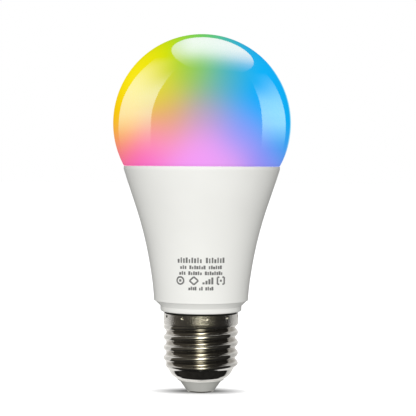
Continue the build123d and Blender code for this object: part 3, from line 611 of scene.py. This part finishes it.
# ------------------------------------------------------------------ finishes of the inner CAD pieces
WHITE_MASK = ((0.78, 0.78, 0.75), (0.86, 0.86, 0.83))
BLACK = ((0.010, 0.010, 0.011), (0.022, 0.022, 0.024))
TIN = ((0.55, 0.55, 0.54), (0.72, 0.72, 0.71))
GILT = ((0.62, 0.42, 0.14), (0.78, 0.58, 0.24))
finishes = {
    "heat_sink_cup": dict(low=(0.58, 0.59, 0.60), high=(0.72, 0.73, 0.74), rough=0.35, metal=1.0, scale=300.0, grain=0.2, rough_var=0.12),
    "thermal_pad": dict(low=(0.16, 0.19, 0.24), high=(0.20, 0.24, 0.29), rough=0.85, scale=1500.0, grain=0.3),
    "led_board": dict(low=WHITE_MASK[0], high=WHITE_MASK[1], rough=0.35, scale=250.0),
    "led_frames": dict(low=(0.74, 0.73, 0.69), high=(0.84, 0.83, 0.79), rough=0.4, scale=1800.0),
    "warm_leds": dict(low=(0.80, 0.36, 0.05), high=(0.90, 0.48, 0.09), rough=0.25, scale=2500.0, coat=0.4),
    "cool_leds": dict(low=(0.82, 0.66, 0.14), high=(0.90, 0.76, 0.22), rough=0.25, scale=2500.0, coat=0.4),
    "red_leds": dict(low=(0.45, 0.05, 0.04), high=(0.62, 0.10, 0.08), rough=0.2, scale=2500.0, coat=0.5),
    "green_leds": dict(low=(0.06, 0.34, 0.10), high=(0.11, 0.48, 0.16), rough=0.2, scale=2500.0, coat=0.5),
    "blue_leds": dict(low=(0.04, 0.09, 0.45), high=(0.08, 0.15, 0.62), rough=0.2, scale=2500.0, coat=0.5),
    "board_screws": dict(low=TIN[0], high=TIN[1], rough=0.28, metal=1.0, scale=1500.0, rough_var=0.1),
    "dome_adhesive": dict(low=(0.68, 0.68, 0.65), high=(0.78, 0.78, 0.75), rough=0.6, scale=700.0, grain=0.3),
    "insulating_liner": dict(low=(0.66, 0.66, 0.56), high=(0.74, 0.74, 0.65), rough=0.3, scale=200.0, alpha=1.0),
    "driver_board": dict(low=(0.42, 0.33, 0.12), high=(0.54, 0.43, 0.18), rough=0.45, scale=1300.0, grain=0.1),
    "input_capacitor": dict(low=BLACK[0], high=BLACK[1], rough=0.3, scale=600.0, coat=0.3),
    "output_capacitor": dict(low=(0.010, 0.045, 0.03), high=(0.018, 0.065, 0.045), rough=0.3, scale=600.0, coat=0.3),
    "transformer_core": dict(low=(0.020, 0.020, 0.022), high=(0.045, 0.045, 0.048), rough=0.6, scale=2200.0, grain=0.4),
    "transformer_bobbin": dict(low=(0.014, 0.013, 0.012), high=(0.028, 0.026, 0.024), rough=0.5, scale=900.0),
    "transformer_winding": dict(low=(0.66, 0.38, 0.02), high=(0.78, 0.48, 0.04), rough=0.28, scale=500.0, coat=0.2),
    "transformer_pins": dict(low=TIN[0], high=TIN[1], rough=0.3, metal=1.0, scale=1800.0),
    "filter_inductor": dict(low=BLACK[0], high=BLACK[1], rough=0.42, scale=800.0, grain=0.2),
    "film_capacitor": dict(low=(0.42, 0.03, 0.012), high=(0.55, 0.05, 0.02), rough=0.4, scale=700.0, grain=0.1),
    "bridge_rectifier": dict(low=BLACK[0], high=BLACK[1], rough=0.5, scale=1600.0, grain=0.2),
    "power_chip": dict(low=BLACK[0], high=BLACK[1], rough=0.5, scale=1600.0, grain=0.2),
    "dimmer_chip": dict(low=BLACK[0], high=BLACK[1], rough=0.5, scale=1600.0, grain=0.2),
    "surge_varistor": dict(low=(0.012, 0.05, 0.28), high=(0.025, 0.08, 0.38), rough=0.35, scale=900.0, grain=0.3),
    "fuse_resistor": dict(low=(0.10, 0.20, 0.15), high=(0.15, 0.27, 0.20), rough=0.4, scale=900.0, grain=0.2),
    "chip_components": dict(low=(0.10, 0.06, 0.035), high=(0.42, 0.38, 0.33), rough=0.45, scale=1400.0),
    "link_header": dict(low=BLACK[0], high=BLACK[1], rough=0.45, scale=1200.0),
    "link_pins": dict(low=GILT[0], high=GILT[1], rough=0.25, metal=1.0, scale=2000.0),
    "solder_joints": dict(low=(0.60, 0.61, 0.62), high=(0.74, 0.75, 0.76), rough=0.22, metal=1.0, scale=2000.0),
    "wireless_board": dict(low=(0.004, 0.055, 0.028), high=(0.010, 0.085, 0.045), rough=0.3, scale=900.0, coat=0.3),
    "shield_can": dict(low=TIN[0], high=TIN[1], rough=0.33, metal=1.0, scale=700.0, rough_var=0.1),
    "wireless_chip": dict(low=BLACK[0], high=BLACK[1], rough=0.5, scale=1600.0, grain=0.2),
    "aerial_trace": dict(low=GILT[0], high=GILT[1], rough=0.3, metal=1.0, scale=1500.0),
    "radio_header": dict(low=BLACK[0], high=BLACK[1], rough=0.45, scale=1200.0),
    "radio_pins": dict(low=GILT[0], high=GILT[1], rough=0.25, metal=1.0, scale=2000.0),
    "live_lead": dict(low=(0.42, 0.02, 0.012), high=(0.55, 0.04, 0.02), rough=0.42, scale=900.0),
    "return_lead": dict(low=TIN[0], high=TIN[1], rough=0.3, metal=1.0, scale=1500.0),
}
for node, kw in finishes.items():
    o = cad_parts[node]
    o.data.materials.clear()
    o.data.materials.append(stuff("m_" + node, **kw))

# ------------------------------------------------------------------ studio
# floor: pale and even, with only the contact shadow
floor_mat, nt, b = new_material("floor")
b.inputs["Roughness"].default_value = 1.0
b.inputs["Specular IOR Level"].default_value = 0.0
b.inputs["Emission Color"].default_value = (1, 1, 1, 1)
# a broad soft pool of shade under the cap, wider to the sides than in depth, on top of the lamps' own shadow
place = nt.nodes.new("ShaderNodeSeparateXYZ")
nt.links.new(nt.nodes.new("ShaderNodeTexCoord").outputs["Object"], place.inputs[0])
px = math_node(nt, "ADD", place.outputs["X"], 0.0006)
py = math_node(nt, "MULTIPLY", place.outputs["Y"], 2.2)
q = math_node(nt, "SQRT", math_node(nt, "MULTIPLY_ADD", px, px, math_node(nt, "MULTIPLY", py, py)))
pool = math_node(nt, "MULTIPLY_ADD", q, 1 / 0.0145, -6.0 / 14.5, clamp=True)
nt.links.new(ramp(nt, pool, [(0.0, (0.30, 0.30, 0.30)), (1.0, (0.91, 0.91, 0.91))]), b.inputs["Base Color"])
nt.links.new(math_node(nt, "MULTIPLY_ADD", pool, 0.62, 0.05), b.inputs["Emission Strength"])
bm = bmesh.new()
bmesh.ops.create_circle(bm, cap_ends=True, radius=6.0, segments=96)
floor = finish_mesh(bm, "floor", floor_mat)
floor.location.z = -0.00002
floor.visible_glossy = False
floor.visible_diffuse = False

# world: even white for the camera and for fill, a dark room in reflections
world = bpy.data.worlds.new("studio")
scene.world = world
world.use_nodes = True
nt = world.node_tree
nt.nodes.clear()
w_out = nt.nodes.new("ShaderNodeOutputWorld")
path = nt.nodes.new("ShaderNodeLightPath")
coords = nt.nodes.new("ShaderNodeTexCoord").outputs["Generated"]
dim = noise(nt, 5.0, 3.0, 0.6, coords=coords)
level = math_node(nt, "MULTIPLY_ADD", dim, 0.03, 0.0)
room = nt.nodes.new("ShaderNodeBackground")
room.inputs["Color"].default_value = (1.0, 0.97, 0.92, 1.0)
nt.links.new(level, room.inputs["Strength"])
fill = nt.nodes.new("ShaderNodeBackground")
fill.inputs["Color"].default_value = (1, 1, 1, 1)
fill.inputs["Strength"].default_value = 0.52
white = nt.nodes.new("ShaderNodeBackground")
white.inputs["Color"].default_value = (1, 1, 1, 1)
white.inputs["Strength"].default_value = 1.0
mix1 = nt.nodes.new("ShaderNodeMixShader")
mix2 = nt.nodes.new("ShaderNodeMixShader")
nt.links.new(path.outputs["Is Glossy Ray"], mix1.inputs[0])
nt.links.new(fill.outputs[0], mix1.inputs[1])
nt.links.new(room.outputs[0], mix1.inputs[2])
nt.links.new(path.outputs["Is Camera Ray"], mix2.inputs[0])
nt.links.new(mix1.outputs[0], mix2.inputs[1])
nt.links.new(white.outputs[0], mix2.inputs[2])
nt.links.new(mix2.outputs[0], w_out.inputs["Surface"])


def area_light(name, loc, target, size_x, size_y, power, glossy=False):
    d = bpy.data.lights.new(name, "AREA")
    d.shape = "RECTANGLE"
    d.size, d.size_y = size_x, size_y
    d.energy = power
    o = bpy.data.objects.new(name, d)
    scene.collection.objects.link(o)
    o.location = loc
    o.rotation_mode = "QUATERNION"
    o.rotation_quaternion = (Vector(target) - Vector(loc)).to_track_quat("-Z", "Y")
    o.visible_camera = False
    o.visible_glossy = glossy
    return o


area_light("key_front", (-0.09, -1.2, 0.30), (0, 0, 0.06), 0.7, 0.5, 10.6)
area_light("top", (0.0, 0.0, 1.1), (0, 0, 0), 1.2, 1.2, 2.0)
# a weak lamp behind, on the white parts only, so the back isn't dull
only_white = bpy.data.collections.new("white_only")
only_white.objects.link(pieces["body_sleeve"])
only_white.objects.link(pieces["cap_insulator"])
back = area_light("back_fill", (0.0, 1.3, 0.25), (0, 0, 0.06), 0.25, 0.25, 4.5)
back.light_linking.receiver_collection = only_white

# soft boxes that only the dome's gloss shows. Each is a card shaped by where its reflection lies on the
# front of the sphere: place on the sphere as (x / R, z / R).
CAMERA_AT = Vector((2.25, -507.0, 78.9))
only_dome = bpy.data.collections.new("dome_only")
only_dome.objects.link(pieces["diffuser_dome"])


def mirror_direction(nx, nz):
    """Where the front of the sphere at (nx, nz) reflects the camera's line of sight to, and the incidence cosine."""
    n = Vector((nx, -math.sqrt(max(1e-6, 1 - nx * nx - nz * nz)), nz))
    sight = (Vector((0, 0, DOME_Z)) + n * DOME_R - CAMERA_AT).normalized()
    c = max(0.02, -sight.dot(n))
    return sight + 2 * c * n, c


def gloss_share(c, ior=1.45):
    """Unpolarised Fresnel share at incidence cosine c."""
    g = math.sqrt(ior * ior + c * c - 1)
    a = ((g - c) / (g + c)) ** 2
    return 0.5 * a * (1 + ((c * (g + c) - 1) / (c * (g - c) + 1)) ** 2)


def tint(level, colour):
    return (level * colour[0], level * colour[1], level * colour[2], 1.0)


def light_card(name, place, wanted, nu, nv, reach, seen_by):
    """place(s, t) gives (nx, nz) for s, t in 0..1; wanted(s, t) gives how far the gloss takes the colour there towards which colour."""
    bm = bmesh.new()
    layer = bm.verts.layers.float_color.new("glow")
    verts = []
    for j in range(nv + 1):
        line = []
        for i in range(nu + 1):
            s, t = i / nu, j / nv
            nx, nz = place(s, t)
            d, c = mirror_direction(nx, nz)
            start = Vector((nx * DOME_R, -math.sqrt(max(1e-6, 1 - nx * nx - nz * nz)) * DOME_R, DOME_Z + nz * DOME_R)) * MM
            v = bm.verts.new(start + d.normalized() * reach)
            share, veil = wanted(s, t)
            under = [max(0.0, g - GLOW_CUT) for g in glow_at(nx, nz)]
            v[layer] = tint(share / max(0.03, gloss_share(c)), [max(0.0, h - g) for h, g in zip(veil, under)])
            line.append(v)
        verts.append(line)
    for j in range(nv):
        for i in range(nu):
            bm.faces.new([verts[j][i], verts[j][i + 1], verts[j + 1][i + 1], verts[j + 1][i]])
    return card_object(name, bm, seen_by)


def card_object(name, bm, seen_by):
    """A card that adds its light only to the gloss of the pieces in one collection, and is clear to everything else."""
    me = bpy.data.meshes.new(name)
    bm.to_mesh(me)
    bm.free()
    m = bpy.data.materials.new(name)
    m.use_nodes = True
    nt = m.node_tree
    nt.nodes.clear()
    out = nt.nodes.new("ShaderNodeOutputMaterial")
    att = nt.nodes.new("ShaderNodeAttribute")
    att.attribute_name = "glow"
    em = nt.nodes.new("ShaderNodeEmission")
    clear = nt.nodes.new("ShaderNodeBsdfTransparent")
    add = nt.nodes.new("ShaderNodeAddShader")
    nt.links.new(att.outputs["Color"], em.inputs["Color"])
    nt.links.new(em.outputs[0], add.inputs[0])
    nt.links.new(clear.outputs[0], add.inputs[1])
    nt.links.new(add.outputs[0], out.inputs["Surface"])
    me.materials.append(m)
    o = bpy.data.objects.new(name, me)
    scene.collection.objects.link(o)
    o.visible_camera = False
    o.visible_diffuse = False
    o.visible_shadow = False
    o.visible_transmission = False
    o.light_linking.receiver_collection = seen_by
    return o


def wall(name, glow, az0, az1, el0, el1, na, ne, reach, seen_by):
    """A curved card on a sphere round the cap, azimuth from the front towards +X, elevation up, in degrees."""
    bm = bmesh.new()
    layer = bm.verts.layers.float_color.new("glow")
    verts = []
    for j in range(ne + 1):
        line = []
        for i in range(na + 1):
            az, el = az0 + (az1 - az0) * i / na, el0 + (el1 - el0) * j / ne
            a, e = math.radians(az), math.radians(el)
            v = bm.verts.new(Vector((math.sin(a) * math.cos(e), -math.cos(a) * math.cos(e), math.sin(e))) * reach + Vector((0, 0, 0.015)))
            v[layer] = tint(*glow(az, el))
            line.append(v)
        verts.append(line)
    for j in range(ne):
        for i in range(na):
            bm.faces.new([verts[j][i], verts[j][i + 1], verts[j + 1][i + 1], verts[j + 1][i]])
    return card_object(name, bm, seen_by)


def between(table, x):
    return float(np.interp(x, [p[0] for p in table], [p[1] for p in table]))


# the overhead box: an ellipse, crisp round its upper edge and gone before its lower one
TOP_MID, TOP_AXES, TOP_TILT = (0.113, 0.718), (0.454, 0.211), math.radians(-10.0)


def top_place(s, t):
    a = 2 * math.pi * s
    c, d = math.cos(a), math.sin(a)
    p, q = TOP_AXES[0] * t * math.copysign(abs(c) ** 1.05, c), TOP_AXES[1] * t * math.copysign(abs(d) ** 1.05, d)
    return TOP_MID[0] + p * math.cos(TOP_TILT) - q * math.sin(TOP_TILT), TOP_MID[1] + p * math.sin(TOP_TILT) + q * math.cos(TOP_TILT)


def top_glow(s, t):
    x, z = top_place(s, t)
    level = z + 0.08 * max(0.0, x)
    share = between([(0.56, 0.0), (0.61, 0.08), (0.655, 0.20), (0.705, 0.43), (0.755, 0.66), (0.81, 0.83), (0.87, 0.90), (1.2, 0.92)], level)
    share *= 0.55 + 0.45 * smoothstep(-0.36, -0.08, x)
    return share, (0.93, 0.98, 0.95)


def band(inner, outer, z0, z1):
    def place(s, t):
        z = z0 + (z1 - z0) * t
        x0, x1 = between(inner, z), between(outer, z)
        return x0 + (x1 - x0) * s, z

    return place


def smooth_table(points, n=40):
    return [(z, x) for x, z in smooth_line(points, n)]


left_inner = smooth_table([(-0.34, -0.55), (-0.20, -0.547), (-0.062, -0.545), (0.063, -0.537), (0.187, -0.509), (0.295, -0.466), (0.402, -0.404), (0.529, -0.308), (0.70, -0.16)])
left_outer = smooth_table([(-0.34, -0.885), (-0.235, -0.902), (-0.143, -0.915), (-0.016, -0.915), (0.130, -0.898), (0.257, -0.863), (0.384, -0.798), (0.510, -0.706), (0.609, -0.606), (0.70, -0.50)])
right_inner = smooth_table([(-0.30, 0.645), (-0.195, 0.648), (-0.052, 0.650), (0.073, 0.643), (0.198, 0.624), (0.305, 0.590), (0.395, 0.552), (0.54, 0.47)])
right_outer = smooth_table([(-0.30, 0.895), (-0.168, 0.916), (-0.040, 0.922), (0.142, 0.902), (0.286, 0.856), (0.413, 0.793), (0.484, 0.742), (0.54, 0.69)])


left_place = band(left_inner, left_outer, -0.34, 0.70)
right_place = band(right_inner, right_outer, -0.30, 0.54)


def left_glow(s, t):
    x, z = left_place(s, t)
    level = between([(-0.34, 0), (-0.24, 0.03), (-0.14, 0.11), (-0.04, 0.25), (0.08, 0.40), (0.25, 0.44), (0.36, 0.43), (0.44, 0.38), (0.52, 0.28), (0.60, 0.15), (0.66, 0.05), (0.70, 0.0)], z)
    # the upper end dies away towards the middle of the dome, not at an edge
    level *= 1 - smoothstep(0.25, 0.60, z) * smoothstep(0.0, 1.0, 1 - s)
    return level * (1.0 - 0.08 * (1 - s)), (1.05, 1.10, 0.90)


def right_glow(s, t):
    x, z = right_place(s, t)
    level = between([(-0.30, 0), (-0.22, 0.04), (-0.12, 0.15), (-0.02, 0.28), (0.10, 0.31), (0.22, 0.26), (0.34, 0.16), (0.44, 0.07), (0.54, 0.0)], z)
    level *= 1 - 0.9 * smoothstep(0.20, 0.46, z) * smoothstep(0.0, 1.0, 1 - s)
    return level * (0.86 + 0.14 * s), (1.0, 1.50, 1.30)


# a sliver of light that wraps the far right edge
def rim_place(s, t):
    a = math.radians(-24 + 72 * t)
    r = 0.972 + 0.0255 * s
    return r * math.cos(a), r * math.sin(a)


def rim_glow(s, t):
    return 0.46 * smoothstep(0.15, 0.65, s) * smoothstep(0.0, 0.25, t) * (1 - smoothstep(0.75, 1.0, t)), (0.75, 1.25, 1.15)


light_card("box_top", top_place, top_glow, 96, 32, 1.1, only_dome)
light_card("box_left", left_place, left_glow, 20, 72, 1.2, only_dome)
light_card("box_right", right_place, right_glow, 20, 64, 1.2, only_dome)
light_card("box_rim", rim_place, rim_glow, 8, 48, 1.2, only_dome)

# what the nickel and the other bare metal show: white walls at the sides and behind, a narrow lamp over the camera, and its patch on the table
only_shell = bpy.data.collections.new("shell_only")
only_shell.objects.link(pieces["screw_shell"])
only_shell.objects.link(pieces["centre_contact"])
for node, kw in finishes.items():
    if kw.get("metal"):
        only_shell.objects.link(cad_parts[node])


WARM, WHITE = (1.0, 0.86, 0.62), (1.0, 0.985, 0.965)


def wall_glow(az, el):
    """White walls from just behind the sides, with the table's dark side coming round below."""
    side = az if az <= 180 else 360 - az
    edge = float(np.interp(el, [-88, -65, -54, -37, -30, -24, -15], [190, 168, 147, 132, 123, 107, 102]))
    level = 0.66 if az > 180 else 0.50
    level += 0.25 * smoothstep(125, 160, side)
    # the floor behind, seen low down, lies in the cap's own shade
    level *= 1 - 0.9 * smoothstep(55, 62, -el) * smoothstep(150, 165, side)
    return level * smoothstep(edge, edge + 6, side), WHITE


def room_glow(az, el):
    """The dim room in front: warm on the left, nearly black on the right and low down."""
    level = float(np.interp(az, [-105, -76, -47, -22, 22, 54, 105], [0.075, 0.052, 0.034, 0.024, 0.012, 0.008, 0.010]))
    if el < -14:
        level *= 1 - 0.85 * smoothstep(14, 34, -el)
    if el > 30:
        level *= 1 + 0.5 * smoothstep(30, 60, el)
    return level, (1.0, 0.88, 0.70)


def lamp_glow(az, el):
    level = 5.9 * math.exp(-((az - 0.5) / 8.8) ** 2 / 2) * smoothstep(0, 12, el) * (1 - smoothstep(32, 44, el))
    # a dim shelf of light to both sides, brighter on the left, which draws the fine lines along the crests
    level += 0.55 * math.exp(-((el - 19) / 2.2) ** 2 / 2) * between([(-70, 0.0), (-50, 0.35), (-30, 1.0), (-14, 1.0), (14, 0.35), (40, 0.25), (60, 0.0)], az)
    return level, (1.0, 0.95, 0.74)


def patch_glow(az, el):
    """A dull warm sheen that comes straight back at the camera."""
    level = 0.26 * math.exp(-((az - 8) / 16.0) ** 2 / 2) * smoothstep(-12, -7, el) * (1 - smoothstep(-3, 4, el))
    return level, (1.0, 0.92, 0.62)


wall("walls_behind", wall_glow, 90, 270, -88, 88, 120, 60, 1.6, only_shell)
wall("room_in_front", room_glow, -110, 110, -88, 88, 60, 40, 1.7, only_shell)
wall("lamp", lamp_glow, -72, 62, -3, 49, 67, 52, 1.5, only_shell)
wall("sheen", patch_glow, -58, 62, -14, 6, 60, 20, 1.45, only_shell)

# the patch of table just in front of the cap, which only the thread's under sides show
bm = bmesh.new()
layer = bm.verts.layers.float_color.new("glow")
rows = []
for j in range(13):
    line = []
    for i in range(17):
        x, y = -8.0 + 16.0 * i / 16, -(14.0 + 14.0 * j / 12)
        v = bm.verts.new((x * MM, y * MM, 0.0001))
        v[layer] = tint(1.9 * math.exp(-((x - 0.4) / 2.6) ** 2 / 2) * smoothstep(19, 21, -y) * (1 - smoothstep(24, 28, -y)), (1.0, 0.94, 0.72))
        line.append(v)
    rows.append(line)
for j in range(12):
    for i in range(16):
        bm.faces.new([rows[j][i], rows[j][i + 1], rows[j + 1][i + 1], rows[j + 1][i]])
card_object("table_patch", bm, only_shell)

# ------------------------------------------------------------------ camera
cam_data = bpy.data.cameras.new("camera")
cam = bpy.data.objects.new("camera", cam_data)
scene.collection.objects.link(cam)
scene.camera = cam
cam_data.sensor_fit = "HORIZONTAL"
cam_data.sensor_width = 36.0
cam_data.lens = 36.0 * 1450.0 / 416.0
cam_data.clip_start, cam_data.clip_end = 0.05, 50.0
pitch, roll = math.radians(1.65), math.radians(0.36)
forward = Vector((0, math.cos(pitch), -math.sin(pitch)))
right = Vector((1, 0, 0))
up = right.cross(forward)
r2 = right * math.cos(roll) + up * math.sin(roll)
u2 = up * math.cos(roll) - right * math.sin(roll)
m = Matrix((r2, u2, -forward)).transposed().to_4x4()
m.translation = CAMERA_AT * MM
cam.matrix_world = m

scene.view_settings.view_transform = "Standard"
scene.view_settings.look = "None"
scene.view_settings.exposure = 0.0
scene.view_settings.gamma = 1.0
scene.cycles.max_bounces = 10
scene.cycles.transparent_max_bounces = 16
